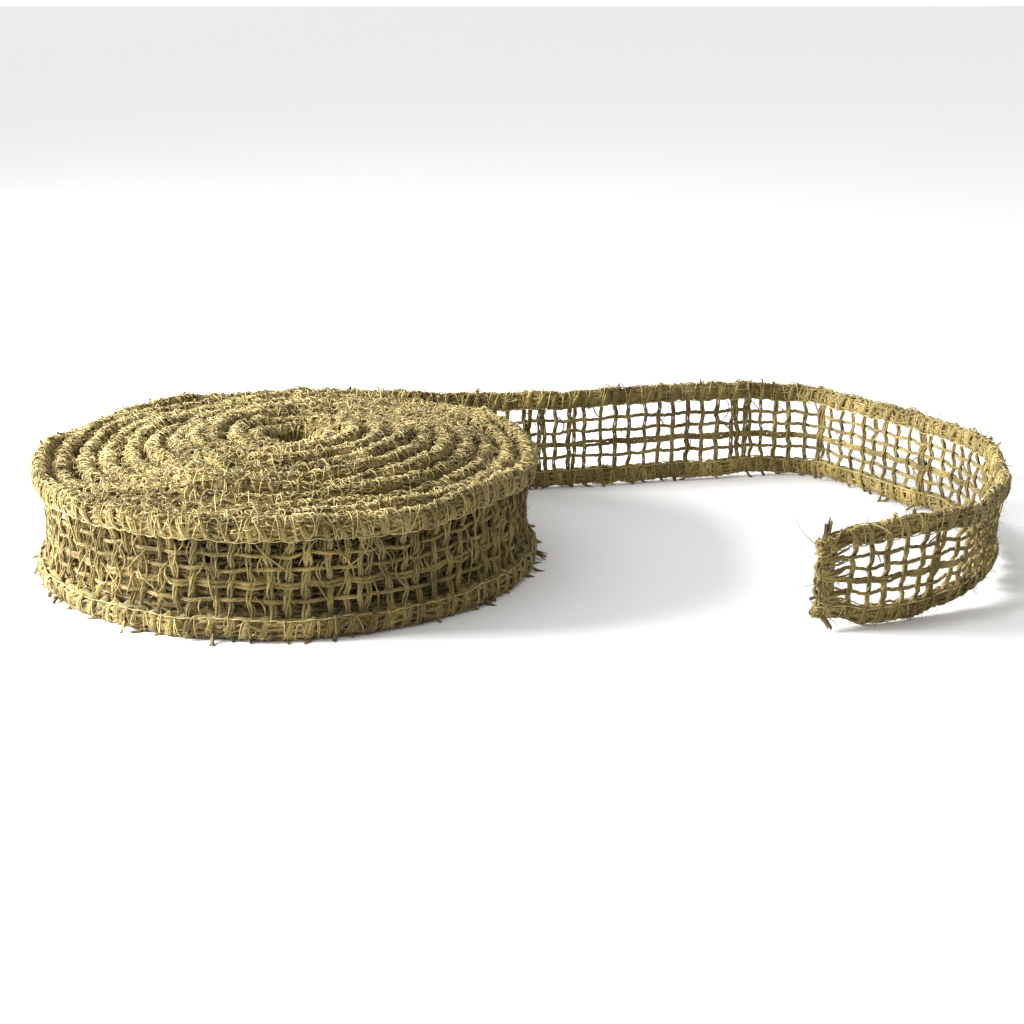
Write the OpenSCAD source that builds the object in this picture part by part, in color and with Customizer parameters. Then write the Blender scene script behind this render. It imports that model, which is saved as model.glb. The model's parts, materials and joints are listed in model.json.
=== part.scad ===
// Coreless roll of natural jute mesh ribbon with overlocked edges.
// The ribbon is wound on edge, so the roll's axis is Z and the roll stands on the plane Z = 0.
// Its outer end leaves the back of the roll along +X and curls round towards the front.
// Millimetres.

/* [Ribbon] */

// Width of the ribbon, from edge to edge
ribbon_w = 40; // [34:1:60]
// Height of each folded and overlocked edge
hem_h = 7.5; // [5:0.5:9]
// Thickness of each folded edge
hem_t = 4.6; // [3.6:0.1:5.6]
// Bevel along the fold of each edge
edge_bevel = 1.4; // [0.8:0.1:1.6]
// Number of free warp yarns between the two edges
warp_count = 4; // [2:1:6]
// Thickness and height of a warp yarn
warp_t = 1.2; // [0.8:0.1:1.6]
// Width of a weft yarn along the ribbon
weft_w = 1.8; // [1:0.1:2.4]
// Thickness of a weft yarn
weft_t = 1; // [0.6:0.1:1.4]
// Distance from one weft yarn to the next
weft_pitch = 6.2; // [4.5:0.1:10]
// Thickness of the overlock sewing thread
thread_t = 0.5; // [0.3:0.1:0.8]

/* [Roll] */

// Radius of the outermost turn, to the middle of the ribbon
roll_r = 85.7; // [70:0.5:105]
// Distance from one turn to the next
turn_pitch = 7.4; // [6.9:0.1:8.8]
// Smallest radius that the ribbon is wound to, round the eye
eye_r = 11; // [8.5:0.5:14]
// Number of outer half turns that lie flat
flat_half_turns = 5; // [1:1:11]
// How far the turns inside them rise towards the middle
dome_h = 9; // [0:0.5:12]
// Thickness of the wound mesh
wound_mesh_t = 1.4; // [0.8:0.1:2]

/* [Loose end] */

// Length of the first stretch, beside the roll
exit_len = 86; // [70:1:110]
// Radius of the slight outward curve after it
veer_r = 40; // [30:1:80]
// Angle of that curve
veer_angle = 12; // [4:1:16]
// Length of the far stretch
far_len = 93.5; // [70:0.5:120]
// Radius of the shoulder
shoulder_r = 16; // [13:1:26]
// Angle of the shoulder
shoulder_angle = 67; // [50:1:75]
// Length of the stretch between the shoulder and the wide bend
link_len = 50; // [36:1:64]
// Radius of the wide bend
bend_r = 90; // [70:1:110]
// Angle of the wide bend
bend_angle = 60; // [44:1:70]
// Length of the stretch after the wide bend
drop_len = 22; // [14:1:34]
// Radius of the last curve
curl_r = 32; // [24:1:44]
// Angle of the last curve
curl_angle = 53; // [40:1:60]
// Length of the last stretch
near_len = 33; // [20:1:48]
// Length of the folded end
fold_len = 4; // [3:0.5:6]
// How far the last section leans outward
end_lean = 18; // [0:1:20]

/* [Fits] */

// Gap between two sections of the loose end, where it flexes
section_gap = 2; // [2:0.1:3]
// Gap between yarns, and between thread and edge
yarn_gap = 0.05; // [0.04:0.01:0.1]

/* [Hidden] */

$fn = 48;
mesh_h = ribbon_w - 2 * hem_h;
warp_pitch = mesh_h / (warp_count + 1);
seam_z = hem_h - 2 * thread_t;
edge_r = hem_t / 2;
weft_offset = warp_t / 2 + yarn_gap + weft_t / 2;
half_pitch = turn_pitch / 2;
half_turns = 1 + floor((roll_r - eye_r) / half_pitch);
rise = dome_h / (half_turns - flat_half_turns);
roll_shift = half_pitch / 2;
half_gap = section_gap / 2;

// A place on the ribbon's line is [x, y, heading].
roll_end = [0, roll_shift + roll_r, 0];
exit_end = ahead(roll_end, half_gap + exit_len);
veer_end = round_bend(exit_end, veer_r, veer_angle);
far_end = ahead(veer_end, far_len);
shoulder_end = round_bend(far_end, shoulder_r, -shoulder_angle);
link_end = ahead(shoulder_end, link_len);
bend_end = round_bend(link_end, bend_r, -bend_angle);
drop_end = ahead(bend_end, drop_len);
curl_end = round_bend(drop_end, curl_r, -curl_angle);

// Places further along the line: straight on, and round a bend to the left (or right, below 0).
function ahead(p, len) = [p.x + len * cos(p.z), p.y + len * sin(p.z), p.z];
function round_bend(p, r, a) = [
    p.x + sign(a) * r * (sin(p.z + a) - sin(p.z)),
    p.y - sign(a) * r * (cos(p.z + a) - cos(p.z)),
    p.z + a
];

// Cross-sections of the ribbon. X is to the left of the line and Y is up.
module lower_edge_shape() {
    polygon([
        [-edge_r, hem_h],
        [-edge_r, edge_bevel],
        [edge_bevel - edge_r, 0],
        [edge_r - edge_bevel, 0],
        [edge_r, edge_bevel],
        [edge_r, hem_h]
    ]);
}

module upper_edge_shape() {
    translate([0, ribbon_w])
        mirror([0, 1])
            lower_edge_shape();
}

module thread_shape(z) {
    for (side = [-1, 1]) {
        translate([side * (edge_r + yarn_gap + thread_t / 2), z])
            square(thread_t, center = true);
    }
}

module lower_thread_shape() {
    thread_shape(seam_z);
}

module upper_thread_shape() {
    thread_shape(ribbon_w - seam_z);
}

module warps_shape() {
    for (k = [1 : warp_count]) {
        translate([0, hem_h + k * warp_pitch])
            square(warp_t, center = true);
    }
}

module weft_shape() {
    translate([-weft_offset, ribbon_w / 2])
        square([weft_t, mesh_h], center = true);
}

module wound_mesh_shape() {
    translate([-wound_mesh_t / 2, hem_h])
        square([wound_mesh_t, mesh_h]);
}

module fold_shape() {
    translate([-edge_r, edge_bevel])
        square([hem_t, ribbon_w - 2 * edge_bevel]);
}

// A cross-section that leans outward about the corner of its own foot.
module leaning() {
    translate([edge_r - edge_bevel, 0])
        rotate(-end_lean)
            translate([edge_bevel - edge_r, 0])
                children();
}

// Sweeps of a cross-section: from the origin along X, or round a bend that ends there.
module along(len) {
    rotate([90, 0, 90])
        linear_extrude(len)
            children();
}

module round_left(r, a) {
    translate([0, r, 0])
        rotate([0, 0, -90])
            rotate_extrude(angle = -a, $fn = 180)
                translate([r, 0])
                    mirror([1, 0])
                        children();
}

module round_right(r, a) {
    mirror([0, 1, 0])
        round_left(r, a)
            mirror([1, 0])
                children();
}

module at(p) {
    translate([p.x, p.y, 0])
        rotate([0, 0, p.z])
            children();
}

// A section: a bend to the left (or right, below 0) up to a place, then a straight stretch.
module section(bend_end, r, a, len) {
    arc = abs(a) - half_gap / r * 180 / PI;
    at(bend_end) {
        if (a > 0) {
            round_left(r, arc)
                children();
        } else {
            round_right(r, arc)
                children();
        }
        along(len)
            children();
    }
}

// Weft yarns stand upright on the right-hand side of the warps, between the two edges.
module wefts_ahead(p, len) {
    for (s = [weft_pitch / 2 : weft_pitch : len - weft_pitch / 4]) {
        at(ahead(p, s - weft_w / 2))
            along(weft_w)
                children();
    }
}

module wefts_round(p, r, a) {
    turn = sign(a) * weft_pitch / r * 180 / PI;
    for (k = [0 : abs(a / turn) - 0.75]) {
        at(ahead(round_bend(p, r, (k + 0.5) * turn), -weft_w / 2))
            along(weft_w)
                children();
    }
}

// The wound turns: half circles about two centres, each a little smaller than the last.
module wind() {
    for (k = [0 : half_turns - 1]) {
        left = k % 2 == 0;
        translate([0, left ? roll_shift : -roll_shift, rise * max(0, k - flat_half_turns)])
            rotate([0, 0, left ? 90 : -90])
                rotate_extrude(angle = 180, $fn = 180)
                    translate([roll_r - k * half_pitch, 0])
                        children();
    }
}

// The five sections of the loose end, each for any cross-section.
module exit_run() {
    at(ahead(roll_end, section_gap))
        along(exit_len - section_gap)
            children();
}

module far_run() {
    section(veer_end, veer_r, veer_angle, far_len - half_gap)
        children();
}

module shoulder_run() {
    section(shoulder_end, shoulder_r, -shoulder_angle, link_len - half_gap)
        children();
}

module bend_run() {
    section(bend_end, bend_r, -bend_angle, drop_len - half_gap)
        children();
}

module end_run() {
    section(curl_end, curl_r, -curl_angle, near_len)
        leaning()
            children();
}

// Roll
module roll_mesh() {
    color([0.55, 0.48, 0.3]) wind() wound_mesh_shape();
}

module roll_upper_edge() {
    color([0.62, 0.55, 0.35]) wind() upper_edge_shape();
}

module roll_lower_edge() {
    color([0.62, 0.55, 0.35]) wind() lower_edge_shape();
}

module roll_upper_stitching() {
    color([0.83, 0.77, 0.55]) wind() upper_thread_shape();
}

module roll_lower_stitching() {
    color([0.83, 0.77, 0.55]) wind() lower_thread_shape();
}

// Exit section, beside the roll
module exit_warps() {
    color([0.55, 0.48, 0.3]) exit_run() warps_shape();
}

module exit_wefts() {
    color([0.58, 0.5, 0.32])
        wefts_ahead(ahead(roll_end, section_gap), exit_len - section_gap)
            weft_shape();
}

module exit_upper_edge() {
    color([0.62, 0.55, 0.35]) exit_run() upper_edge_shape();
}

module exit_lower_edge() {
    color([0.62, 0.55, 0.35]) exit_run() lower_edge_shape();
}

module exit_upper_stitching() {
    color([0.83, 0.77, 0.55]) exit_run() upper_thread_shape();
}

module exit_lower_stitching() {
    color([0.83, 0.77, 0.55]) exit_run() lower_thread_shape();
}

// Far section
module far_warps() {
    color([0.55, 0.48, 0.3]) far_run() warps_shape();
}

module far_wefts() {
    color([0.58, 0.5, 0.32]) {
        wefts_round(exit_end, veer_r, veer_angle) weft_shape();
        wefts_ahead(veer_end, far_len - half_gap) weft_shape();
    }
}

module far_upper_edge() {
    color([0.62, 0.55, 0.35]) far_run() upper_edge_shape();
}

module far_lower_edge() {
    color([0.62, 0.55, 0.35]) far_run() lower_edge_shape();
}

module far_upper_stitching() {
    color([0.83, 0.77, 0.55]) far_run() upper_thread_shape();
}

module far_lower_stitching() {
    color([0.83, 0.77, 0.55]) far_run() lower_thread_shape();
}

// Shoulder section
module shoulder_warps() {
    color([0.55, 0.48, 0.3]) shoulder_run() warps_shape();
}

module shoulder_wefts() {
    color([0.58, 0.5, 0.32]) {
        wefts_round(far_end, shoulder_r, -shoulder_angle) weft_shape();
        wefts_ahead(shoulder_end, link_len - half_gap) weft_shape();
    }
}

module shoulder_upper_edge() {
    color([0.62, 0.55, 0.35]) shoulder_run() upper_edge_shape();
}

module shoulder_lower_edge() {
    color([0.62, 0.55, 0.35]) shoulder_run() lower_edge_shape();
}

module shoulder_upper_stitching() {
    color([0.83, 0.77, 0.55]) shoulder_run() upper_thread_shape();
}

module shoulder_lower_stitching() {
    color([0.83, 0.77, 0.55]) shoulder_run() lower_thread_shape();
}

// Bend section
module bend_warps() {
    color([0.55, 0.48, 0.3]) bend_run() warps_shape();
}

module bend_wefts() {
    color([0.58, 0.5, 0.32]) {
        wefts_round(link_end, bend_r, -bend_angle) weft_shape();
        wefts_ahead(bend_end, drop_len - half_gap) weft_shape();
    }
}

module bend_upper_edge() {
    color([0.62, 0.55, 0.35]) bend_run() upper_edge_shape();
}

module bend_lower_edge() {
    color([0.62, 0.55, 0.35]) bend_run() lower_edge_shape();
}

module bend_upper_stitching() {
    color([0.83, 0.77, 0.55]) bend_run() upper_thread_shape();
}

module bend_lower_stitching() {
    color([0.83, 0.77, 0.55]) bend_run() lower_thread_shape();
}

// End section, with the folded cut end
module end_warps() {
    color([0.55, 0.48, 0.3]) end_run() warps_shape();
}

module end_wefts() {
    color([0.58, 0.5, 0.32]) {
        wefts_round(drop_end, curl_r, -curl_angle) leaning() weft_shape();
        wefts_ahead(curl_end, near_len) leaning() weft_shape();
    }
}

module end_upper_edge() {
    color([0.62, 0.55, 0.35]) end_run() upper_edge_shape();
}

module end_lower_edge() {
    color([0.62, 0.55, 0.35]) end_run() lower_edge_shape();
}

module end_upper_stitching() {
    color([0.83, 0.77, 0.55]) end_run() upper_thread_shape();
}

module end_lower_stitching() {
    color([0.83, 0.77, 0.55]) end_run() lower_thread_shape();
}

module end_fold() {
    color([0.62, 0.55, 0.35])
        at(ahead(curl_end, near_len))
            along(fold_len)
                leaning() fold_shape();
}

roll_mesh();
roll_upper_edge();
roll_lower_edge();
roll_upper_stitching();
roll_lower_stitching();
exit_warps();
exit_wefts();
exit_upper_edge();
exit_lower_edge();
exit_upper_stitching();
exit_lower_stitching();
far_warps();
far_wefts();
far_upper_edge();
far_lower_edge();
far_upper_stitching();
far_lower_stitching();
shoulder_warps();
shoulder_wefts();
shoulder_upper_edge();
shoulder_lower_edge();
shoulder_upper_stitching();
shoulder_lower_stitching();
bend_warps();
bend_wefts();
bend_upper_edge();
bend_lower_edge();
bend_upper_stitching();
bend_lower_stitching();
end_warps();
end_wefts();
end_upper_edge();
end_lower_edge();
end_upper_stitching();
end_lower_stitching();
end_fold();
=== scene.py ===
import json

import bpy
import numpy as np
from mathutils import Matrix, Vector


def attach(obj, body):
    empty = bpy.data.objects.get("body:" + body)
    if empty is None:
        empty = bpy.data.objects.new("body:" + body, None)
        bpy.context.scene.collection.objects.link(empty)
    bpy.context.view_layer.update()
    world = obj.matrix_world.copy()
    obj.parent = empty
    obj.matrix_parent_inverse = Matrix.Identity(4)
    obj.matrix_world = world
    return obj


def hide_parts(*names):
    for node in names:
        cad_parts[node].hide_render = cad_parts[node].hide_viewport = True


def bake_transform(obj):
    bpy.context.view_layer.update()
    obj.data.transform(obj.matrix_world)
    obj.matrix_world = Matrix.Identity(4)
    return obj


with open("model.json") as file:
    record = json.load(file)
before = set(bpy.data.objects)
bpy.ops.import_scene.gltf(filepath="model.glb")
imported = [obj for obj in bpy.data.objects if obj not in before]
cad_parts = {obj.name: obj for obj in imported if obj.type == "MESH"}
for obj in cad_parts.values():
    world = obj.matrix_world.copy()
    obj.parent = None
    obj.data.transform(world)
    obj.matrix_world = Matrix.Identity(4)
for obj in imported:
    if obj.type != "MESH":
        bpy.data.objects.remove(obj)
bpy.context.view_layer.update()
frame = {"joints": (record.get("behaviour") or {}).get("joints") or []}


# Camera
# A short telephoto a little above the table, in front of the roll and to its right.
camera_place = Vector((0.0756, -0.6410, 0.2119))
camera_down = 16.95
camera_left = -0.27
camera_lens = 65.85

camera = bpy.data.objects.new("camera", bpy.data.cameras.new("camera"))
camera.location = camera_place
camera.rotation_euler = (np.radians(90 - camera_down), 0, np.radians(camera_left))
camera.data.lens = camera_lens
camera.data.sensor_width = 36
camera.data.clip_start = 0.01
bpy.context.scene.collection.objects.link(camera)
bpy.context.scene.camera = camera


# The ribbon's line
# One length of ribbon: ten and a half turns wound on edge, then the loose end, which stands on its
# edge too. s is the length along it in millimetres, 0 where it leaves the roll and less than 0 inside.
mm = 0.001
ribbon_width = 40.0
turn_pitch = 7.4
half_turns = 21
flat_half_turns = 5
dome_height = 9.0

joint_places = {j["name"]: Vector(j["pos_m"]) / mm for j in frame["joints"]}
exit_place = joint_places["roll_exit"]
exit_radius = exit_place.y
inner_radius = exit_radius - half_turns * turn_pitch / 2
wound_length = np.pi * (exit_radius**2 - inner_radius**2) / turn_pitch

# The loose end turns evenly between these places: (length along it, heading in degrees).
bends = [(0, 0), (88, 0), (96, 12), (190, 12), (208, -55), (258, -55)]
bends += [(353, -115), (375, -115), (404, -168)]
loose_length = 441.0
line_step = 0.5


def drift(seed, wavelength, at):
    """A smooth random wander about 0, mostly between -1 and 1: the sum of five sines of nearby
    wavelengths."""
    rng = np.random.default_rng(seed)
    waves = wavelength * rng.uniform(0.6, 1.7, 5)
    starts = rng.uniform(0, 2 * np.pi, 5)
    heights = rng.uniform(0.5, 1.0, 5)
    at = np.asarray(at, float)
    total = sum(h * np.sin(2 * np.pi * at / w + c) for h, w, c in zip(heights, waves, starts))
    return total / 2.2


def averaged(values, width):
    """Each value becomes the mean of those within half of width of it, so that bends start gently."""
    n = int(width / line_step) | 1
    padded = np.concatenate([np.full(n // 2, values[0]), values, np.full(n // 2, values[-1])])
    return np.convolve(padded, np.ones(n) / n, "valid")


# The roll isn't quite round. Its inner turns are a tighter group that lies a little to the right, to the
# front and higher than the outer ones, and its eye is off centre to the left.
inner_group_radius = 61
bulge_s = -665
s_wound = np.arange(-wound_length, 0, line_step)
radius = np.sqrt(exit_radius**2 + turn_pitch * s_wound / np.pi)
angle = np.pi / 2 + 2 * np.pi * (exit_radius - radius) / turn_pitch
inner_group = 1 / (1 + np.exp((radius - inner_group_radius) / 2.0))
out_of_round = 0.8 + 1.2 * np.cos(angle) + 0.7 * np.sin(2 * angle + 0.6) * radius / exit_radius
out_of_round = out_of_round + 0.3 * drift(11, 140, s_wound) + 0.5 * drift(10, 60, s_wound) * inner_group
out_of_round = out_of_round + 0.9 * np.exp(-(((s_wound - bulge_s) / 60) ** 2))
out_of_round = (out_of_round - 0.8 * inner_group) * np.clip(-s_wound / 90, 0, 1)
eye_shift = 3.2 * np.exp(-(((radius - 10) / 22) ** 2))
wound_x = (radius + out_of_round) * np.cos(angle) + 1.2 * inner_group - eye_shift
wound_y = (radius + out_of_round) * np.sin(angle) - 1.0 * inner_group

past_end = 30.0
s_loose = np.arange(0, loose_length + past_end, line_step)
heading = np.radians(averaged(averaged(np.interp(s_loose, *zip(*bends)), 14), 12))
loose_x = exit_place.x + np.cumsum(np.cos(heading)) * line_step
loose_y = exit_place.y + np.cumsum(np.sin(heading)) * line_step

line_s = np.concatenate([s_wound, s_loose])
line_x = averaged(np.concatenate([wound_x, loose_x]), 5)
line_y = averaged(np.concatenate([wound_y, loose_y]), 5)
along_x, along_y = np.gradient(line_x, line_step), np.gradient(line_y, line_step)
along = np.hypot(along_x, along_y)
along_x, along_y = along_x / along, along_y / along

# The turns climb to a shallow dome that dips at the eye, and the outer ones stand higher at the back
# left. The loose end leans further over towards its cut end, where it draws in and its top reaches on.
# Its rim sags and its foot lifts where it bends.
half_turns_in = 2 * (exit_radius - np.interp(line_s, s_wound, radius, right=exit_radius)) / turn_pitch
climb = (half_turns_in - flat_half_turns) / (half_turns - flat_half_turns)
dome = dome_height * np.clip(climb, 0, 1)
group_rise = np.interp(line_s, s_wound, 1.6 * inner_group, right=0)
dome = dome + group_rise * np.clip((22 - half_turns_in) / 8, 0, 1)
back = np.clip(np.sin(angle) - 0.5 * np.cos(angle), 0, 1)
back = back * (1 - inner_group) * np.clip(-s_wound / 120, 0, 1)
dome = dome + np.interp(line_s, s_wound, 1.8 * back, right=0)
dome = dome - 3.5 * np.exp(-(((half_turns_in - half_turns) / 2.4) ** 2))
lean = np.radians(np.interp(line_s, [0, 300, 345, 385, 412, 441], [0, 0, 3, 13, 13, 18]))
foot_back = 4.0 * np.exp(-(((line_s - 385) / 24) ** 2))
sag_places = [110, 140, 170, 190, 215, 260, 330, 360, 385]
sag = averaged(np.interp(line_s, sag_places, [0, -0.8, -0.6, 1.4, 2.2, 1.4, 1.0, 1.8, 0]), 16)
overshoot = np.interp(line_s, [402, 440], [0, 4.5])
pucker = np.interp(line_s, [385, 412, 430, 441], [1, 1.0, 0.96, 0.86])
foot_places = [-20, 0, 100, 160, 240, 350, 372, 382, 392, 398, 405, 425, 430, 438]
foot_up = np.interp(line_s, foot_places, [0.1, 0, 0.1, 0.6, 1.0, 2.0, 4.6, 3.5, 2.4, 1.2, 0, 0, 2.6, 4.0])
foot_up = averaged(foot_up, 6)


def is_wound(s):
    """1 in the roll and 0 in the loose end, with a smooth change over the last 50 mm of the roll."""
    t = np.clip(-np.asarray(s, float) / 50, 0, 1)
    return t * t * (3 - 2 * t)


def place(s, w, n):
    """The point in space of a point of the ribbon: s along it, w up from its foot and n out of its face.
    The roll's turns bulge at their rims and sink between them, and the loose end's edges wave a little."""
    x, y = np.interp(s, line_s, line_x), np.interp(s, line_s, line_y)
    tx, ty = np.interp(s, line_s, along_x), np.interp(s, line_s, along_y)
    size = np.hypot(tx, ty)
    out_x, out_y = -ty / size, tx / size
    up = np.clip(w / ribbon_width, -0.1, 1.1)
    wound = is_wound(s)
    waist = 1.5 * np.sin(np.pi * np.clip((w - 5) / 30, 0, 1))
    wave = 1.0 * drift(14, 34, s) * (2 * up - 1) ** 2 * np.sign(up - 0.5) + 0.5 * drift(15, 55, s)
    n = n - waist * wound + wave * (1 - wound)
    rim = up * (0.5 + 0.8 * wound) * drift(16, 75, s) + up * 0.35 * drift(18, 17, s)
    rim = rim + (1 - up) * (np.interp(s, line_s, foot_up) + 0.4 * drift(17, 40, s))
    rim = rim - up * np.interp(s, line_s, sag)
    tilt, w = np.interp(s, line_s, lean), w * np.interp(s, line_s, pucker)
    across = w * np.sin(tilt) + n * np.cos(tilt) - np.interp(s, line_s, foot_back)
    height = w * np.cos(tilt) - n * np.sin(tilt) + np.interp(s, line_s, dome) + rim
    height = np.where(height < 0.25, 0.25 + 0.15 * np.tanh(height - 0.25), height)
    ahead = np.clip(w / ribbon_width - 0.15, 0, 1) * np.interp(s, line_s, overshoot)
    x, y = x + tx / size * ahead, y + ty / size * ahead
    return np.stack([x + out_x * across, y + out_y * across, height], axis=-1)


# The lengths that the ribbon is made in: three of the roll, then one across each place where the
# loose end flexes. Each loose length runs from the middle of one section to the middle of the next.
lengths = {
    "roll_inner": (-wound_length, -1750, "roll", None),
    "roll_middle": (-1750, -560, "roll", None),
    "roll_outer": (-560, -20, "roll", None),
    "exit": (-20, 44, "roll", "exit_section"),
    "far": (44, 142, "exit_section", "far_section"),
    "shoulder": (142, 233, "far_section", "shoulder_section"),
    "bend": (233, 312, "shoulder_section", "bend_section"),
    "end": (312, loose_length, "bend_section", "end_section"),
}
flex_s = {"exit": 0, "far": 87, "shoulder": 189, "bend": 257.5, "end": 374}
flex_reach = {"exit": 16, "far": 22, "shoulder": 22, "bend": 22, "end": 22}


# Jute yarn
# Brown-gold fibres twisted into a soft yarn. Its streaks run round it at a slant, its colour drifts
# from olive to straw along its length, and it is dry and matt.
jute_dark = (0.034, 0.023, 0.005, 1)
jute_mid = (0.190, 0.138, 0.037, 1)
jute_pale = (0.58, 0.445, 0.152, 1)


def yarn_material(name, dark, mid, pale, roughness, streak, bump):
    """Streaks along the twist, from noise on (length, turn round the yarn), mixed with slow patches in
    space, and coloured by a ramp from dark through mid to pale."""
    material = bpy.data.materials.new(name)
    material.use_nodes = True
    tree = material.node_tree
    add, link = tree.nodes.new, tree.links.new
    shader = tree.nodes["Principled BSDF"]
    shader.inputs["Roughness"].default_value = roughness
    shader.inputs["Specular IOR Level"].default_value = 0.25
    shader.inputs["Sheen Weight"].default_value = 0.18
    shader.inputs["Sheen Roughness"].default_value = 0.5
    where = add("ShaderNodeTexCoord")
    slant = add("ShaderNodeMapping")
    slant.inputs["Rotation"].default_value = (0, 0, np.radians(24))
    slant.inputs["Scale"].default_value = (0.9, streak, 1)
    fibres = add("ShaderNodeTexNoise")
    fibres.inputs["Scale"].default_value = 1.6
    fibres.inputs["Detail"].default_value = 5
    fibres.inputs["Roughness"].default_value = 0.7
    patches = add("ShaderNodeTexNoise")
    patches.inputs["Scale"].default_value = 90
    patches.inputs["Detail"].default_value = 4
    blend = add("ShaderNodeMath")
    blend.operation = "MULTIPLY_ADD"
    blend.inputs[1].default_value = 0.62
    half = add("ShaderNodeMath")
    half.operation = "MULTIPLY"
    half.inputs[1].default_value = 0.38
    ramp = add("ShaderNodeValToRGB")
    ramp.color_ramp.elements[0].position = 0.33
    ramp.color_ramp.elements[0].color = dark
    ramp.color_ramp.elements[1].position = 0.68
    ramp.color_ramp.elements[1].color = pale
    middle = ramp.color_ramp.elements.new(0.49)
    middle.color = mid
    relief = add("ShaderNodeBump")
    relief.inputs["Strength"].default_value = bump
    relief.inputs["Distance"].default_value = 0.0003
    link(where.outputs["UV"], slant.inputs["Vector"])
    link(slant.outputs["Vector"], fibres.inputs["Vector"])
    link(where.outputs["Object"], patches.inputs["Vector"])
    link(patches.outputs["Fac"], half.inputs[0])
    link(fibres.outputs["Fac"], blend.inputs[0])
    link(half.outputs["Value"], blend.inputs[2])
    link(blend.outputs["Value"], ramp.inputs["Fac"])
    link(ramp.outputs["Color"], shader.inputs["Base Color"])
    link(fibres.outputs["Fac"], relief.inputs["Height"])
    link(relief.outputs["Normal"], shader.inputs["Normal"])
    return material


jute_yarn = yarn_material("jute_yarn", jute_dark, jute_mid, jute_pale, 0.82, 7, 0.6)


# Weave
# Plain-woven open mesh: single warp yarns with one doubled, and thicker, uneven weft yarns that go
# over and under them and wrap both edges, where their cut ends lie behind the fold.
warp_places = [12.4, 17.0, 18.2, 22.6, 27.6]
warp_side = [1, -1, -1, 1, -1]
crest_heights = [7.5, 12.5, 17.6, 22.5, 27.5, 32.5]
weft_pitch = 6.2
fold_half_height = 3.65
fold_half_thickness = 1.45
fold_crown = 0.3
fold_roundness = 0.85
fold_puff = 1.15
weave_swing = 0.62
doubled_gap = 1.9
warp_twist = 8.5
web_foot = 8.4
strand_radius = {2: 0.56, 3: 0.465, 4: 0.355}
strands = {"roll_inner": 2, "roll_middle": 2, "roll_outer": 4}

weft_rng = np.random.default_rng(21)
weft_s = np.arange(-wound_length + 3, loose_length - 3, weft_pitch)
weft_s = weft_s + weft_rng.uniform(-1, 1, weft_s.size) * (0.45 + 0.5 * is_wound(weft_s))
weft_number = np.arange(weft_s.size)
doubled = weft_rng.uniform(0, 1, weft_s.size) < 0.14
weft_chance = weft_rng.uniform(-1, 1, (weft_s.size, 8))


def tubes(lines, radii, sides, seed):
    """Carries a ring along each of n lines of p points: line + radius x (normal cos a + binormal sin a).
    The normal is handed from point to point, less its part along the line, so that the tube doesn't twist.
    Gives the rings' points, the length along each line and a random shift for its UVs."""
    ahead = np.gradient(lines, axis=1)
    ahead /= np.linalg.norm(ahead, axis=2, keepdims=True)
    normal = np.cross(ahead[:, 0], [0.31, 0.17, 0.94])
    normals = np.empty_like(lines)
    for i in range(lines.shape[1]):
        normal = normal - (normal * ahead[:, i]).sum(1, keepdims=True) * ahead[:, i]
        normal /= np.linalg.norm(normal, axis=1, keepdims=True)
        normals[:, i] = normal
    binormals = np.cross(ahead, normals)
    a = 2 * np.pi * np.arange(sides) / sides
    ring = normals[:, :, None] * np.cos(a)[:, None] + binormals[:, :, None] * np.sin(a)[:, None]
    points = lines[:, :, None] + radii[:, :, None, None] * ring
    n = len(lines)
    step = np.linalg.norm(np.diff(lines, axis=1), axis=2)
    u = np.concatenate([np.zeros((n, 1)), np.cumsum(step, 1)], 1)
    shift = np.random.default_rng(seed + 5).uniform(0, 40, (n, 1))
    return points, u + shift, shift


def surface(points, u, shift):
    """Vertices, quads, caps and corner UVs of n closed tubes, from rings of points (n, p, sides, 3).
    U is the length along the tube and V the turn round it, shifted by tube so that no two look alike."""
    n, p, sides = points.shape[:3]
    number = np.arange(n * p * sides).reshape(n, p, sides)
    after = np.roll(number, -1, axis=2)
    quads = np.stack([number[:, :-1], after[:, :-1], after[:, 1:], number[:, 1:]], axis=-1).reshape(-1, 4)
    caps = np.concatenate([number[:, 0, ::-1], number[:, -1]])
    v = (np.arange(sides + 1) / sides)[None, None] + shift[:, :, None]
    v = np.broadcast_to(v, (n, p, sides + 1))
    uu = np.broadcast_to(u[:, :, None], (n, p, sides + 1))
    uv = np.stack([uu, v], -1)
    quad_uv = np.stack([uv[:, :-1, :-1], uv[:, :-1, 1:], uv[:, 1:, 1:], uv[:, 1:, :-1]], axis=3)
    quad_uv = quad_uv.reshape(-1, 2)
    cap_uv = np.concatenate([uv[:, 0, :-1], uv[:, -1, :-1]]).reshape(-1, 2)
    return points.reshape(-1, 3), quads, caps, quad_uv, cap_uv


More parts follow.
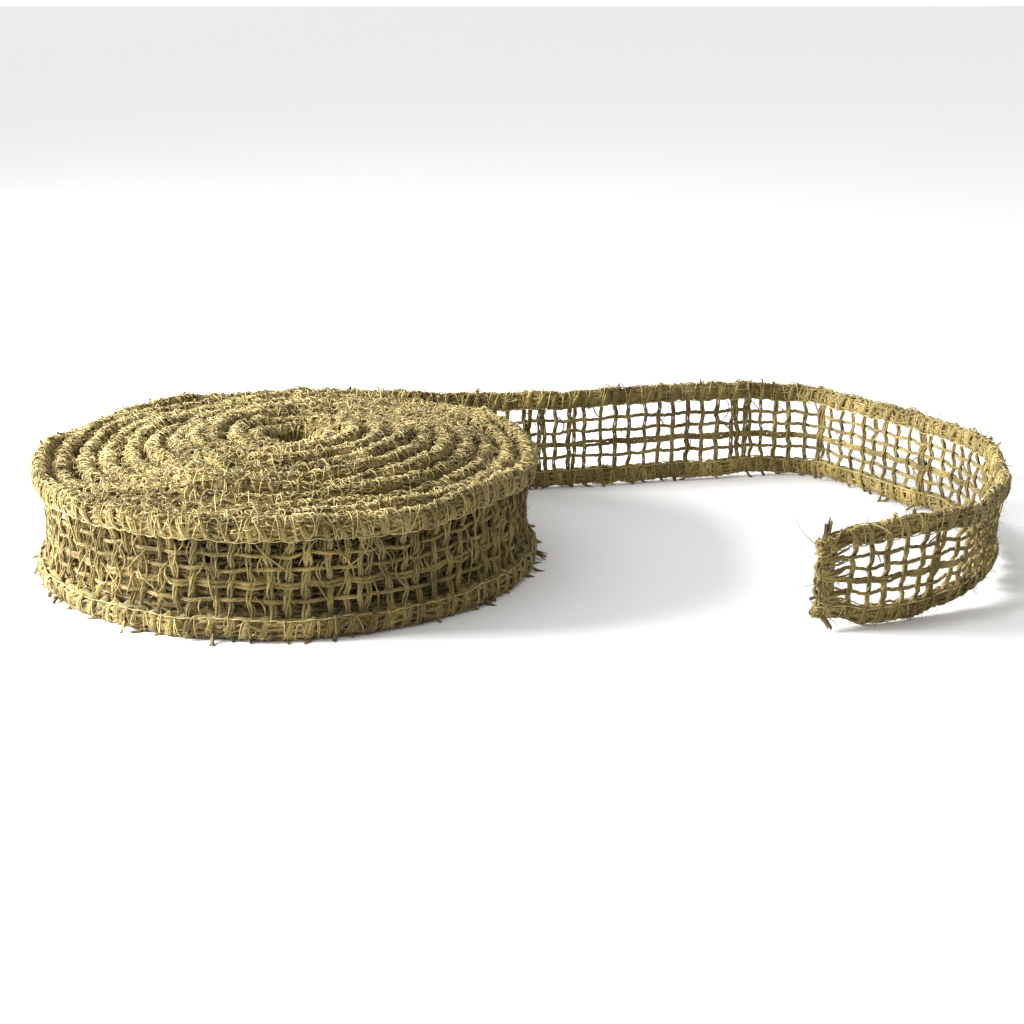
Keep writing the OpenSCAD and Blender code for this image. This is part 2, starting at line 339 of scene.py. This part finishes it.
def piece(name, parts, material):
    """One mesh object from several sets of tubes, in millimetres in and metres out."""
    made = [surface(*part) for part in parts]
    starts = np.cumsum([0] + [len(m[0]) for m in made])
    points = np.concatenate([m[0] for m in made]) * mm
    quads = [m[1] + start for m, start in zip(made, starts)]
    caps = [m[2] + start for m, start in zip(made, starts)]
    corners = np.concatenate([q.ravel() for q in quads] + [c.ravel() for c in caps])
    sizes = np.concatenate([np.full(len(f), f.shape[1]) for f in quads + caps])
    uv = np.concatenate([m[3] for m in made] + [m[4] for m in made])
    mesh = bpy.data.meshes.new(name)
    mesh.vertices.add(len(points))
    mesh.vertices.foreach_set("co", points.astype(np.float32).ravel())
    mesh.loops.add(len(corners))
    mesh.loops.foreach_set("vertex_index", corners.astype(np.int32))
    mesh.polygons.add(len(sizes))
    loop_starts = np.concatenate([[0], np.cumsum(sizes)[:-1]])
    mesh.polygons.foreach_set("loop_start", loop_starts.astype(np.int32))
    mesh.polygons.foreach_set("use_smooth", np.ones(len(sizes), bool))
    mesh.uv_layers.new(name="UVMap").data.foreach_set("uv", uv.astype(np.float32).ravel())
    mesh.materials.append(material)
    mesh.update(calc_edges=True)
    thing = bpy.data.objects.new(name, mesh)
    bpy.context.scene.collection.objects.link(thing)
    return thing


def fold(a, top, s=0.0):
    """(w, n) on the outline of a folded edge, at the angle a from its crown: a squared-off oval, turned
    over at the top. It is squeezed flat and drawn in on the loose end and puffs out in the roll."""
    c, k = np.cos(a), np.sin(a)
    loose = 1 - is_wound(s)
    half = fold_half_thickness + fold_puff * (1 - loose) * (1 + 0.3 * drift(19, 22, s))
    shrunk_top = loose * (0.5 + 0.3 * drift(20, 15, s))
    shrunk = np.where(top, shrunk_top, 0.2 + 0.6 * loose + 0.4 * drift(22, 13, s))
    round_it = 1 - np.sign(c) * np.abs(c) ** fold_roundness
    w = fold_crown + shrunk + (fold_half_height - shrunk / 2) * round_it
    n = half * np.sign(k) * np.abs(k) ** fold_roundness
    return np.where(top, ribbon_width - w, w) + 0 * n, n


def off_fold(a, top, lift, s=0.0):
    """(w, n) at lift millimetres outside the outline of a folded edge."""
    w, n = fold(a, top, s)
    c, k = np.cos(a), np.sin(a)
    return w + np.where(top, 1, -1) * c * lift, n + k * lift


def weave_line(w, side):
    """How far a weft stands out at height w: over one warp and under the next, a cosine with a crest at
    each."""
    crests = np.interp(w, crest_heights, np.arange(6))
    return weave_swing * side * np.cos(np.pi * crests)


def twisted(wide, deep, turn, count):
    """The offsets of count strands round a yarn: wide x cos of its turn to the side and deep x sin out of
    the face."""
    start = 2 * np.pi * np.arange(count)[:, None, None] / count
    return wide * np.cos(turn + start), deep * np.sin(turn + start)


def wefts(s0, s1, count):
    """The weft yarns from s0 to s1: from behind the lower fold, round it, over and under the warps and
    round the upper fold. Each is count strands that cross and spread wide between the warps. Some yarns
    are doubled."""
    chosen = weft_number[(weft_s >= s0) & (weft_s < s1)]
    chosen = np.concatenate([chosen, chosen[doubled[chosen]]])
    twin = np.arange(chosen.size) >= (chosen.size - doubled[chosen].sum() / 2)
    s = weft_s[chosen] + doubled_gap * twin
    side = np.where(chosen % 2 == 0, 1.0, -1.0)
    chance = weft_chance[chosen] * np.where(twin, -1, 1)[:, None]
    wound = is_wound(s)[:, None]
    wrap = np.linspace(-2.4, 0.4, 6)
    web_w = np.linspace(web_foot, ribbon_width - web_foot, 14)
    low_w, low_n = off_fold(wrap[None], False, -0.1, s[:, None])
    high_w, high_n = off_fold(wrap[None, ::-1], True, -0.1, s[:, None])
    web = web_w[None] + 0 * s[:, None]
    w = np.concatenate([low_w, web, high_w], 1)
    n = np.concatenate([low_n, weave_line(web, side[:, None]), high_n], 1)
    up = w / ribbon_width
    skew = (up - 0.5) * (1.0 + 3.4 * wound) * chance[:, :1]
    bow = (0.35 + 1.1 * wound) * np.sin(np.pi * up * (1.3 + chance[:, 1:2])) * chance[:, 2:3]
    crook = (0.22 + 0.22 * wound) * np.sin(w * 0.5 + 7 * chance[:, 3:4])
    crook = crook + 0.16 * np.sin(w * 1.25 + 9 * chance[:, 4:5])
    at = s[:, None] + skew + bow + crook
    crest = np.abs(np.sin(np.pi * np.interp(w, crest_heights, np.arange(6))))
    spread = 0.55 - 0.13 * wound + 0.1 * chance[:, 5:6]
    spread = spread + (0.12 + 0.5 * wound) * crest * (0.6 + 0.6 * chance[:, 6:7])
    turn = (0.28 + 0.12 * chance[:, 7:8]) * w + 8 * chance[:, 6:7]
    along, out = twisted(spread, 0.34, turn, count)
    shape = (-1, w.shape[1])
    lines = place((at + along).reshape(shape), np.tile(w, (count, 1)), (n + out).reshape(shape))
    thick = strand_radius[count] * (1 + np.tile((0.18 + 0.17 * wound) * chance[:, 5:6], (count, 1)))
    thick = thick * (1 + 0.16 * np.sin(np.tile(w, (count, 1)) * 0.9 + np.arange(len(lines))[:, None]))
    return tubes(lines, thick, 4 if count > 2 else 3, 41)


def warps(s0, s1, count):
    """The warp yarns from s0 to s1: each runs the other side of every weft, as a cosine of the weft's
    number, and is count strands twisted together."""
    points = max(4, int(round((s1 - s0) / (1.5 if count > 2 else 2.3))))
    s = np.linspace(s0, s1, points + 1)
    turns = np.interp(s, weft_s, weft_number)
    across, out, radii = [], [], []
    for k, (w, side) in enumerate(zip(warp_places, warp_side)):
        wander = 0.4 * drift(50 + k, 30, s) + 0.15 * drift(60 + k, 9, s)
        swing = weave_swing * side * np.cos(np.pi * turns)
        turn = 2 * np.pi * s / warp_twist + k
        aside, away = twisted(0.40, 0.36, turn, count)
        aside, away = aside.reshape(count, -1), away.reshape(count, -1)
        across.append(w + wander + aside)
        out.append(swing + away)
        radii.append(np.tile(0.92 * strand_radius[count] * (1 + 0.2 * drift(70 + k, 14, s)), (count, 1)))
    across, out, radii = np.concatenate(across), np.concatenate(out), np.concatenate(radii)
    return tubes(place(np.tile(s, (len(across), 1)), across, out), radii, 4 if count > 2 else 3, 42)


def go_with(thing, name):
    """The piece rides on the roll, or, where it spans a joint, has its transform baked in and is left
    unattached.
    """
    first, second = lengths[name][2:]
    if second is None:
        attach(thing, first)
        return
    s = flex_s[name]
    reach = flex_reach[name]
    ends = [Vector(place(np.float64(s + d), np.float64(20), np.float64(0))) * mm for d in (-reach, reach)]
    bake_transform(thing)


for name, (s0, s1, first, second) in lengths.items():
    count = strands.get(name, 3)
    parts = [wefts(s0, s1, count), warps(s0, s1, count)]
    weave = piece(name + "_weave", parts, jute_yarn)
    go_with(weave, name)


# Folded edges
# Along both sides the mesh is folded over and squeezed by the sewing, so that it bulges between
# stitches. Its surface is fibre: strands of warp lie along it over the wefts, and hairs stand off it.
stitch_pitch = 5.6
jute_edge = yarn_material("jute_edge", jute_dark, jute_mid, jute_pale, 0.88, 3, 0.9)


def fold_body(s0, s1, top):
    """A bumpy closed tube on the fold's outline: it swells as a cosine between stitches, and wanders of
    two lengths give it lumps like bunched fibre."""
    count = max(4, int(round((s1 - s0) / 1.5)))
    s = np.linspace(s0, s1, count + 1)[:, None]
    a = (2 * np.pi * np.arange(12) / 12)[None]
    w, n = fold(-a if top else a, top, s)
    swell = 0.4 * np.cos(2 * np.pi * s / stitch_pitch + a) + 0.4 * drift(81 + top, 4.2, s + 9 * a)
    lift = swell + 0.45 * drift(83 + top, 11, s - 14 * a) - 0.4
    middle = fold_crown + fold_half_height
    middle = ribbon_width - middle if top else middle
    w = w + (w - middle) * lift / 3.1
    n = n + n * lift / 1.9
    points = place(s + 0 * a, w, n)[None]
    return points, (s[:, 0] - s0)[None], np.array([[0.37 + 3 * top]])


def fold_strands(s0, s1, top, count):
    """Strands along the faces and crown of a fold, each thin, uneven and half sunk in it, and wandering
    round it."""
    points = max(4, int(round((s1 - s0) / 1.9)))
    s = np.linspace(s0, s1, points + 1)
    lines, radii = [], []
    for k, a in enumerate(np.linspace(-2.25, 2.25, count)):
        turn = a + 0.36 * drift(90 + k + 17 * top, 17, s) + 0.16 * drift(290 + k, 6, s)
        w, n = off_fold(turn, top, 0.02 + 0.34 * drift(197 + k, 7, s), s)
        lines.append(place(s + 0.8 * drift(320 + k, 5, s), w, n))
        radii.append(0.46 * (1 + 0.4 * drift(104 + k, 9, s)))
    return tubes(np.array(lines), np.clip(np.array(radii), 0.2, 0.75), 4, 43 + top)


def worn(s):
    """How far the sewing has come away and left the jute to fray: 0 to 1 in long uneven stretches."""
    return np.clip(0.35 + 0.75 * drift(170, 130, s), 0, 1)


def fibres(s, w, n, way, length, curl, radius, seed, points=5):
    """Loose fibres: each leaves (s, w, n) along way, bends off sideways as the square of its length, and
    tapers."""
    rng = np.random.default_rng(seed)
    way = way / np.linalg.norm(way, axis=1, keepdims=True)
    off = np.cross(way, rng.normal(size=way.shape))
    off = off / np.maximum(np.linalg.norm(off, axis=1, keepdims=True), 1e-6)
    t = np.linspace(0, 1, points)[None, :, None]
    bent = way[:, None] * t + curl[:, None, None] * off[:, None] * t**2
    path = np.stack([s, w, n], -1)[:, None] + length[:, None, None] * bent
    lines = place(path[..., 0], path[..., 1], path[..., 2])
    return tubes(lines, radius[:, None] * (1 - 0.6 * t[..., 0]), 3, seed)


def fold_fuzz(s0, s1, top, per_mm, seed):
    """Hairs and slivers of jute lying along a fold's faces and crown, some standing off it."""
    rng = np.random.default_rng(seed)
    count = int((s1 - s0) * per_mm)
    s = rng.uniform(s0, s1, int(count * 1.5))
    s = s[rng.random(s.size) < 0.3 + 0.7 * worn(s)]
    count = s.size
    a = rng.uniform(-2.2, 2.2, count) * np.where(rng.random(count) < 0.4, 0.5, 1)
    w, n = off_fold(a, top, rng.uniform(-0.1, 0.45, count), s)
    way = rng.normal(size=(count, 3)) * [1.7, 0.7, 0.5]
    crown = np.cos(a) > 0.3
    way[:, 1] = np.where(crown, np.abs(way[:, 1]) * (0.35 if top else -0.35), way[:, 1])
    length, curl = rng.uniform(1.5, 4.5, count), rng.uniform(0.1, 0.9, count)
    thick = rng.uniform(0.05, 0.13, count) * np.where(rng.random(count) < 0.2, 1.9, 1)
    return fibres(s, w, n, way, length, curl, thick, seed)


def turned_ends(s0, s1, top, seed):
    """The wefts' ends, turned over the fold and sewn down aslant: a flat bunch of four strands on each
    face that runs from the root to the crown while it moves on along the ribbon."""
    rng = np.random.default_rng(seed)
    ends = weft_s[(weft_s >= s0) & (weft_s < s1)]
    each, t = 4, np.linspace(0, 1, 7)[None]
    face = np.repeat(np.tile([-1.0, 1.0], ends.size), each)[:, None]
    start = np.repeat(np.repeat(ends, 2) + rng.uniform(-1.5, 1, 2 * ends.size), each)[:, None]
    on = np.repeat(rng.uniform(1.2, 4.2, 2 * ends.size), each)[:, None]
    strand = np.tile(np.arange(each) - 1.5, 2 * ends.size)[:, None]
    s = start + on * t + strand * (0.5 + 0.15 * np.sin(5 * t + start)) * (1 - 0.4 * t)
    a = face * (2.35 - (2.3 + 0.3 * np.sin(strand + start)) * t)
    lift = 0.25 + 0.4 * np.sin(np.pi * t) * (1 - 0.2 * strand**2) + 0.1 * np.sin(3 * start)
    w, n = off_fold(a, top, lift, s)
    taper = 0.65 + 0.35 * np.sin(np.pi * np.clip(t + 0.15, 0, 1))
    thick = rng.uniform(0.3, 0.52, (s.shape[0], 1)) * taper
    return tubes(place(s, w, n), thick, 4, seed)


def weft_tufts(s0, s1, top, chance, seed):
    """The wefts' cut ends that stick out through the sewing: each a stub of five strands, frayed at its
    tip."""
    rng = np.random.default_rng(seed)
    ends = weft_s[(weft_s >= s0) & (weft_s < s1)]
    ends = ends[rng.random(ends.size) < chance]
    each = 5
    s = np.repeat(ends + rng.uniform(-1.5, 1.5, ends.size), each) + rng.normal(size=ends.size * each) * 0.3
    least = 0.6 * is_wound(ends) * (not top)
    outer = np.where(is_wound(ends) > 0.5, 0.75, 0.25)
    facing = np.where(rng.random(ends.size) < outer, 1, -1) * (least + rng.uniform(0, 0.8, ends.size))
    a = np.repeat(facing, each) + rng.normal(size=s.size) * 0.1
    w, n = off_fold(a, top, -0.3, s)
    aslant = np.repeat(rng.normal(size=(ends.size, 3)) * [0.55, 0, 0.3], each, axis=0)
    way = np.stack([0 * s, (0.25 + np.cos(a)) * (1 if top else -1), 1.2 * np.sin(a)], -1) + aslant
    way = way + rng.normal(size=way.shape) * 0.06
    length = np.repeat(rng.uniform(2.8, 7.2, ends.size) * (0.5 if top else 1.0), each)
    length = length * rng.uniform(0.75, 1.05, s.size)
    curl, radius = rng.uniform(0, 0.15, s.size), rng.uniform(0.34, 0.52, s.size)
    return fibres(s, w, n, way, length, curl, radius, seed)


edges = {}
for name, (s0, s1, first, second) in lengths.items():
    shown = name not in ("roll_inner", "roll_middle")
    for side, top in (("lower", False), ("upper", True)):
        parts = [fold_body(s0, s1, top), fold_strands(s0, s1, top, 10 if shown else (5 if top else 3))]
        parts.append(fold_fuzz(s0, s1, top, 4.0 if shown else (1.5 if top else 0.3), 500 + 2 * len(edges)))
        if name != "end" or top:
            how_many = (0.5 if top else 0.9) if shown else 0.15
            parts.append(weft_tufts(s0, s1, top, how_many, 600 + len(edges)))
        if shown:
            parts.append(turned_ends(s0, s1, top, 650 + len(edges)))
        edge = piece(f"{name}_{side}_hem", parts, jute_edge)
        edges[name, side] = edge
        go_with(edge, name)


# Overlock stitching
# Thin pale thread. Two loopers lie in zigzags over the two faces of each fold and lock in scallops
# along its crown, where loose curls stand up, and a needle thread runs along each face's root.
thread_radius = 0.19
needle_turn = 2.3
thread_dark = (0.15, 0.11, 0.032, 1)
thread_mid = (0.37, 0.29, 0.100, 1)
thread_pale = (0.74, 0.60, 0.27, 1)
overlock_thread = yarn_material("overlock_thread", thread_dark, thread_mid, thread_pale, 0.6, 2, 0.2)


def looper(s0, s1, top, face, per_stitch, sides, stitches_a_turn=1):
    """A looper thread on one face: down to the fold's root and back up over the crown once a stitch, or
    once in stitches_a_turn. Its angle round the fold is a cosine and its swing along the ribbon a sine,
    which rounds the loops."""
    first = int(np.floor((s0 + wound_length) / stitch_pitch))
    last = int(np.floor((s1 + wound_length) / stitch_pitch))
    t = np.arange(first * per_stitch, last * per_stitch + 1) / per_stitch
    s = t * stitch_pitch - wound_length
    seed = 120 + 10 * (face > 0) + 5 * top + 400 * (stitches_a_turn - 1)
    t = t + 0.16 * drift(seed + 4, 19, s)
    phase = 2 * np.pi * t / stitches_a_turn + (face > 0) * 2.2
    reach = 1.3 + 0.32 * drift(seed, 13, s)
    a = face * (0.98 + reach * np.cos(phase)) + 0.2 * drift(seed + 6, 5, s)
    swing = (0.12 + 0.2 * drift(seed + 1, 14, s)) * (1 if stitches_a_turn == 1 else 0.3)
    s = s - stitch_pitch * swing * np.sin(phase) + 0.6 * drift(seed + 5, 8, s)
    crown = np.clip(np.cos(a), 0, 1)
    slack = np.clip(0.35 + 0.8 * drift(seed + 2, 8, s), 0, None) * (1.0 if top else 0.25)
    lift = 0.42 + 0.18 * is_wound(s) + 0.25 * drift(seed + 3, 5, s) + slack * crown**2
    w, n = off_fold(a, top, lift, s)
    return tubes(place(s, w, n)[None], np.full((1, s.size), thread_radius), sides, seed)


def crown_thread(s0, s1, top, sides):
    """The thread that locks the loopers: along the crown in shallow uneven scallops."""
    count = max(8, int(round((s1 - s0) / 0.95)))
    s = np.linspace(s0, s1, count + 1)
    phase = 2 * np.pi * (s + wound_length) / stitch_pitch + 1.5 * drift(160 + top, 40, s)
    a = 0.42 * np.cos(phase) + 0.35 * drift(161 + top, 13, s)
    lift = 0.75 + 0.3 * drift(163 + top, 6, s)
    w, n = off_fold(a, top, lift if top else 0.4 * lift, s)
    at = s + 0.9 * np.sin(phase * 2) * (0.6 + 0.4 * drift(165, 15, s))
    return tubes(place(at, w, n)[None], np.full((1, s.size), thread_radius), sides, 166)


def needle(s0, s1, top, face, step):
    """A needle thread along one face at the root of the fold, dipping inwards once a stitch."""
    count = max(6, int(round((s1 - s0) / step)))
    s = np.linspace(s0, s1, count + 1)
    phase = 2 * np.pi * (s + wound_length) / stitch_pitch
    a = face * (needle_turn + 0.06 * drift(150 + top, 17, s))
    w, n = off_fold(a, top, 0.55 + 0.3 * np.cos(phase), s)
    return tubes(place(s, w, n)[None], np.full((1, s.size), thread_radius * 1.1), 4, 151)


def curls(s0, s1, top, per_mm, seed):
    """Loose curls of thread over a fold's crown: each is most of a circle that opens as it turns, tilted
    at random. In the roll they are small and round, and on the loose end long and low."""
    rng = np.random.default_rng(seed)
    s = rng.uniform(s0, s1, int((s1 - s0) * per_mm * 1.6))
    s = s[rng.random(s.size) > 0.85 * worn(s)]
    count, wound = s.size, is_wound(s)
    a = rng.uniform(-1.5, 1.5, count)
    w, n = off_fold(a, top, 0.55 + rng.uniform(-0.2, 0.35, count), s)
    radius = rng.uniform(0.6, 1.7, count)
    begin, sweep = rng.uniform(0, 2 * np.pi, count), rng.uniform(3.2, 6.3, count)
    heading = rng.uniform(0, np.pi, count) * wound
    tilt = rng.normal(size=count) * (0.2 + 0.25 * wound) + 1.2 * (1 - wound)
    t = np.linspace(0, 1, 9)[None]
    phase = begin[:, None] + sweep[:, None] * t
    r = radius[:, None] * (0.8 + 0.4 * t)
    u = r * np.cos(phase) * (2.3 - 1.3 * wound[:, None])
    v = r * np.sin(phase) * (0.55 + 0.45 * wound[:, None])
    ahead = u * np.cos(heading)[:, None] - v * np.sin(heading)[:, None] * np.cos(tilt)[:, None]
    aside = u * np.sin(heading)[:, None] + v * np.cos(heading)[:, None] * np.cos(tilt)[:, None]
    rise = v * np.sin(tilt)[:, None] * (1 if top else -1)
    lines = place(s[:, None] + ahead, w[:, None] + rise, n[:, None] + aside)
    return tubes(lines, rng.uniform(0.13, 0.2, count)[:, None] + 0 * t, 3, seed)


stitches = {}
for name, (s0, s1, first, second) in lengths.items():
    shown = name not in ("roll_inner", "roll_middle")
    for side, top in (("lower", False), ("upper", True)):
        steps, sides = (14, 4) if shown else ((10, 3) if top else (6, 3))
        parts = [looper(s0, s1, top, face, steps, sides) for face in (1, -1)]
        if name == "roll_outer":
            parts.append(looper(s0, s1, top, 1 if top else -1, 8, sides, 2))
        parts.append(crown_thread(s0, s1, top, sides))
        parts += [needle(s0, s1, top, face, 0.93 if shown else 1.87) for face in (1, -1)]
        per_mm = (0.22 if second else 1.15) if top else 0.1
        parts.append(curls(s0, s1, top, per_mm, 700 + len(stitches)))
        stitching = piece(f"{name}_{side}_overlock", parts, overlock_thread)
        stitches[name, side] = stitching
        go_with(stitching, name)


# Fuzz
# Fine hairs that the yarns shed all over the mesh, and here and there a sliver of weft that has
# come away and lies slantwise over the cells.
def weave_fuzz(s0, s1, per_mm, seed):
    """Fine hairs off the yarns: half from the wefts, half from the warps, each a few millimetres long."""
    rng = np.random.default_rng(seed)
    count = int((s1 - s0) * per_mm)
    from_weft = rng.uniform(0, 1, count) < 0.55
    near = weft_s[np.clip(np.searchsorted(weft_s, rng.uniform(s0, s1, count)), 0, weft_s.size - 1)]
    s = np.where(from_weft, near + rng.uniform(-0.7, 0.7, count), rng.uniform(s0, s1, count))
    on_weft = rng.uniform(7, 33, count)
    on_warp = rng.choice(warp_places, count) + rng.uniform(-0.4, 0.4, count)
    w = np.where(from_weft, on_weft, on_warp)
    n = rng.uniform(-0.8, 0.8, count)
    way = rng.normal(size=(count, 3)) * np.where(from_weft[:, None], [1.3, 0.8, 0.5], [0.9, 1.2, 0.5])
    length, curl = rng.uniform(1.5, 4.5, count), rng.uniform(0.1, 0.8, count)
    return fibres(np.clip(s, s0, s1), w, n, way, length, curl, rng.uniform(0.03, 0.085, count), seed)


def slivers(s0, s1, per_mm, seed):
    """Slivers off the wefts: long flat arcs of loose strand over the outer side of the mesh, which rise as
    a sine and are thin at both ends."""
    rng = np.random.default_rng(seed)
    count = int((s1 - s0) * per_mm)
    s, w = rng.uniform(s0, s1, count), rng.uniform(7.5, 27, count)
    t = np.linspace(0, 1, 8)[None]
    length = rng.uniform(5, 13, count)[:, None]
    slant, bend = rng.normal(size=(count, 1)) * 0.45, rng.normal(size=(count, 1)) * 0.22
    across = length * (slant * t + bend * np.sin(np.pi * t))
    out = 0.7 + 0.5 * np.sin(np.pi * t) * rng.uniform(0.2, 1, (count, 1))
    thick = rng.uniform(0.12, 0.3, (count, 1)) * (0.25 + np.sin(np.pi * t) ** 0.7)
    lines = place(s[:, None] + across, np.clip(w[:, None] + length * t, 6, 34), out)
    return tubes(lines, thick, 4, seed)


fuzz = {}
for name, (s0, s1, first, second) in lengths.items():
    if name in ("roll_inner", "roll_middle"):
        continue
    wound = name == "roll_outer"
    parts = [weave_fuzz(s0, s1, 8 if wound else 5, 800 + len(fuzz))]
    parts.append(slivers(s0, s1, 0.7 if wound else 0.1, 850))
    hairs = piece(name + "_fuzz", parts, jute_yarn)
    fuzz[name] = hairs
    go_with(hairs, name)


# The cut end
# The ribbon's end is turned back over itself and drawn up by its sewing into a puckered band, with a
# stub of yarn sticking out at each corner and a loose length of thread.
end_s = loose_length
rng = np.random.default_rng(900)


def end_band():
    """Strands across the whole width, round an oval core that puckers in and out as it climbs from foot to
    crown."""
    w = np.linspace(0.8, ribbon_width - 0.8, 34)
    count = 34
    lines, radii = [], []
    for i in range(count):
        a, inner = 2 * np.pi * i / count, 0.55 + 0.45 * (i % 3 > 0)
        bulge = inner * (1 + 0.14 * drift(910, 9, w) + 0.14 * drift(911 + i, 8, w))
        s = end_s - 2.9 + 2.7 * np.cos(a) * bulge + 0.25 * drift(950 + i, 11, w) + 0.35 * drift(909, 24, w)
        n = -0.4 + 1.5 * np.sin(a) * bulge + 0.3 * drift(908, 16, w)
        lines.append(place(s, w, n))
        radii.append(0.36 + 0.16 * drift(990 + i, 5, w))
    return tubes(np.array(lines), np.clip(np.array(radii), 0.2, 0.6), 5, 912)


def end_pleats():
    """Pleats of mesh drawn into the band: bent strands of every thickness on both faces, gathered as they
    reach it."""
    count = 44
    w = rng.uniform(1.5, ribbon_width - 1.5, count)
    side = np.where(np.arange(count) % 3 == 0, -1.0, 1.0)
    t = np.linspace(0, 1, 9)[None]
    reach = rng.uniform(4.5, 10.5, count)[:, None]
    s = end_s - 1 - reach * (1 - t)
    across = w[:, None] + rng.normal(size=(count, 1)) * 1.6 * (1 - t) ** 1.5
    across = across + 0.35 * np.sin(7 * t + w[:, None])
    out = -0.7 * t + side[:, None] * (0.5 + 1.5 * np.sin(np.pi * np.clip(t * 0.85, 0, 1)))
    taper = 0.45 + 0.55 * np.sin(np.pi * np.clip(0.1 + t * 0.8, 0, 1))
    thick = rng.uniform(0.22, 0.62, (count, 1)) * taper
    return tubes(place(s, across, out), thick, 4, 913)


def stub(s, w, n, way, length, thick, seed):
    """A short end of yarn: seven twisted strands that splay at the tip."""
    local = np.random.default_rng(seed)
    count = 7
    around = 2 * np.pi * np.arange(count) / count
    s_start, n_start = s + 0.5 * thick * np.cos(around), n + 0.5 * thick * np.sin(around)
    ways = np.tile(np.array(way, float), (count, 1)) + local.normal(size=(count, 3)) * 0.03
    cut_at = length * local.uniform(0.85, 1.05, count)
    curl, radius = local.uniform(0, 0.1, count), np.full(count, thick * 0.5)
    return fibres(s_start, np.full(count, w), n_start, ways, cut_at, curl, radius, seed, 7)


def loose_thread(start, way, length, curl, seed):
    """One end of sewing thread in the air, bending steadily off its way."""
    one = [np.array([v], float) for v in start]
    way = np.array([way], float)
    return fibres(*one, way, np.array([length]), np.array([curl]), np.array([0.2]), seed, 16)


end_parts = [end_band(), end_pleats()]
end_parts.append(stub(end_s - 2.5, 37.0, -0.4, (-0.3, 1.0, -0.4), 8.0, 1.45, 921))
end_parts.append(stub(end_s - 2.0, 3.0, 0.3, (-0.7, -0.9, 0.8), 7.0, 1.35, 922))
end_parts.append(stub(end_s - 1.0, 12.0, 0.3, (1.0, -0.1, 0.3), 3.5, 0.7, 923))
end_parts.append(weave_fuzz(end_s - 9, end_s - 1, 30, 924))
end_wrap = piece("end_turned", end_parts, jute_edge)
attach(end_wrap, "end_section")
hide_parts("end_fold")

end_threads = [
    loose_thread((end_s - 0.5, 37.0, 0.2), (0.75, 0.75, -0.3), 15.0, 0.25, 931),
    loose_thread((end_s - 0.5, 18.0, 0.2), (1.0, 0.25, 0.2), 6.0, 0.5, 932),
    loose_thread((end_s - 0.5, 12.0, 0.2), (1.0, -0.1, 0.5), 4.5, 0.6, 933),
    loose_thread((end_s - 16, 39.5, 0.2), (-0.4, 0.6, 0.5), 7.0, 0.9, 934),
]
end_sewing = piece("end_threads", end_threads, overlock_thread)
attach(end_sewing, "end_section")


# What each length stands for
# The ribbon is a strip as wide as the roll is high, and each length of it was flat before it was wound.
for name, (s0, s1, first, second) in lengths.items():
    stands_for = "roll" if name.startswith("roll") else name
    for side in ("lower", "upper"):
        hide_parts(f"{stands_for}_{side}_edge")
        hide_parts(f"{stands_for}_{side}_stitching")
    if stands_for == "roll":
        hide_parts("roll_mesh")
    else:
        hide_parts(name + "_warps", name + "_wefts")
    along_it = [made[name, side] for made in (edges, stitches) for side in ("lower", "upper")]
    if name in fuzz:
        along_it.append(fuzz[name])
    if name == "end":
        along_it += [end_wrap, end_sewing]


# Floor and lights
# A plain pale floor under a white sky, which is brightest at the back left and dim at the front right,
# with a soft square key light low on the left.
floor_mesh = bpy.data.meshes.new("floor")
floor_mesh.from_pydata([(-6, -6, 0), (6, -6, 0), (6, 6, 0), (-6, 6, 0)], [], [(0, 1, 2, 3)])
floor = bpy.data.objects.new("floor", floor_mesh)
bpy.context.scene.collection.objects.link(floor)
floor_paint = bpy.data.materials.new("floor_paint")
floor_paint.use_nodes = True
floor_paint.node_tree.nodes["Principled BSDF"].inputs["Base Color"].default_value = (0.9, 0.9, 0.9, 1)
floor_paint.node_tree.nodes["Principled BSDF"].inputs["Roughness"].default_value = 0.9
floor_mesh.materials.append(floor_paint)

world = bpy.data.worlds.new("studio")
world.use_nodes = True
world_tree = world.node_tree
world_tree.nodes["Background"].inputs["Color"].default_value = (1, 1, 1, 1)
sky_way = world_tree.nodes.new("ShaderNodeTexCoord")
sky_side = world_tree.nodes.new("ShaderNodeVectorMath")
sky_side.operation = "DOT_PRODUCT"
sky_side.inputs[1].default_value = (-0.74, 0.60, 0.22)
sky_light = world_tree.nodes.new("ShaderNodeMapRange")
sky_light.inputs["From Min"].default_value = -1
sky_light.inputs["From Max"].default_value = 1
sky_light.inputs["To Min"].default_value = 0.18
sky_light.inputs["To Max"].default_value = 1.45
world_tree.links.new(sky_way.outputs["Generated"], sky_side.inputs[0])
world_tree.links.new(sky_side.outputs["Value"], sky_light.inputs["Value"])
world_tree.links.new(sky_light.outputs["Result"], world_tree.nodes["Background"].inputs["Strength"])
bpy.context.scene.world = world


def area_light(name, at, towards, size, power):
    """A square soft light at one place, facing another."""
    lamp = bpy.data.lights.new(name, "AREA")
    lamp.size = size
    lamp.energy = power
    light = bpy.data.objects.new(name, lamp)
    light.location = at
    light.rotation_euler = (Vector(towards) - Vector(at)).to_track_quat("-Z", "Y").to_euler()
    bpy.context.scene.collection.objects.link(light)


area_light("key", (-0.64, -0.03, 0.27), (0.0, 0, 0.02), 0.32, 25)
bpy.context.scene.view_settings.view_transform = "Standard"
